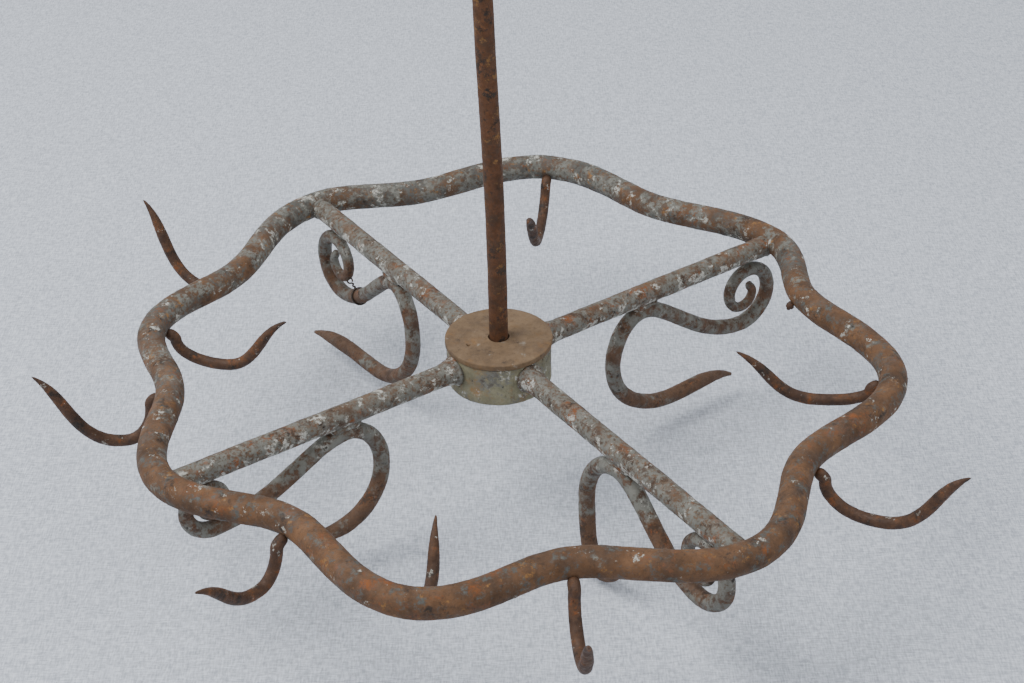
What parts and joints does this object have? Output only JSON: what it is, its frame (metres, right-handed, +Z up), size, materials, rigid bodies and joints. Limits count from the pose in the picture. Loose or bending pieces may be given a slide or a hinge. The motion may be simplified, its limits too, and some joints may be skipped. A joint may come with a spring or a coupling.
{
  "type": "hanging hook rack",
  "caption": "Round forged-iron hook rack that hangs from a hoist pulley block and turns, for hanging meat, herbs, pots or tools.",
  "frame": {"origin": "rope seat: the lowest point of the sheave's groove, straight above the rod", "axes": "+Z up along the rod; the sheave's axle along Y; the rope runs under the sheave along X"},
  "size_m": [0.6052, 0.6062, 0.85],
  "materials": {
    "rusted_ring": "forged iron, brown rust over grey scale",
    "galvanised_spoke": "iron with remains of white and grey zinc",
    "hub_drum": "greenish grey iron with ochre streaks",
    "hub_plate": "tan to pinkish brown rust",
    "rod_rust": "even dark orange rust",
    "hook_iron": "dark brown, polished by use towards the points",
    "scroll_iron": "grey zinc remains over brown rust",
    "tie_wire": "dull dark wire",
    "block_iron": "rusted forged iron",
    "worn_steel": "worn dull steel"
  },
  "bodies": {
    "stem": {"stirrup": "block_iron", "axle_pin": "worn_steel", "axle_end_washer": "worn_steel", "sheave_washer_near": "worn_steel", "sheave_washer_far": "worn_steel", "cotter": "worn_steel", "rod": "rod_rust", "thrust_washer": "worn_steel"},
    "sheave": {"sheave": "block_iron"},
    "rack": {"ring": "rusted_ring", "hub_drum": "hub_drum", "hub_plate": "hub_plate", "wire_tie": "tie_wire", "spoke_back_right": "galvanised_spoke", "spoke_back_left": "galvanised_spoke", "spoke_front_left": "galvanised_spoke", "spoke_front_right": "galvanised_spoke", "scroll_hook_back_right": "scroll_iron", "scroll_hook_back_left": "scroll_iron", "scroll_hook_front_left": "scroll_iron", "scroll_hook_front_right": "scroll_iron", "outer_hook_1": "hook_iron", "outer_hook_2": "hook_iron", "outer_hook_3": "hook_iron", "outer_hook_4": "hook_iron", "outer_hook_5": "hook_iron", "inner_hook_1": "hook_iron", "inner_hook_2": "hook_iron", "inner_hook_3": "hook_iron", "inner_hook_4": "hook_iron"}
  },
  "joints": [
    {"name": "sheave_spin", "type": "hinge", "parent": "stem", "child": "sheave", "pos_m": [0, 0, 0.032], "axis": [0, 1, 0], "continuous": true},
    {"name": "rack_spin", "type": "hinge", "parent": "stem", "child": "rack", "pos_m": [0, 0, -0.6491], "axis": [0, 0, 1], "continuous": true}
  ]
}
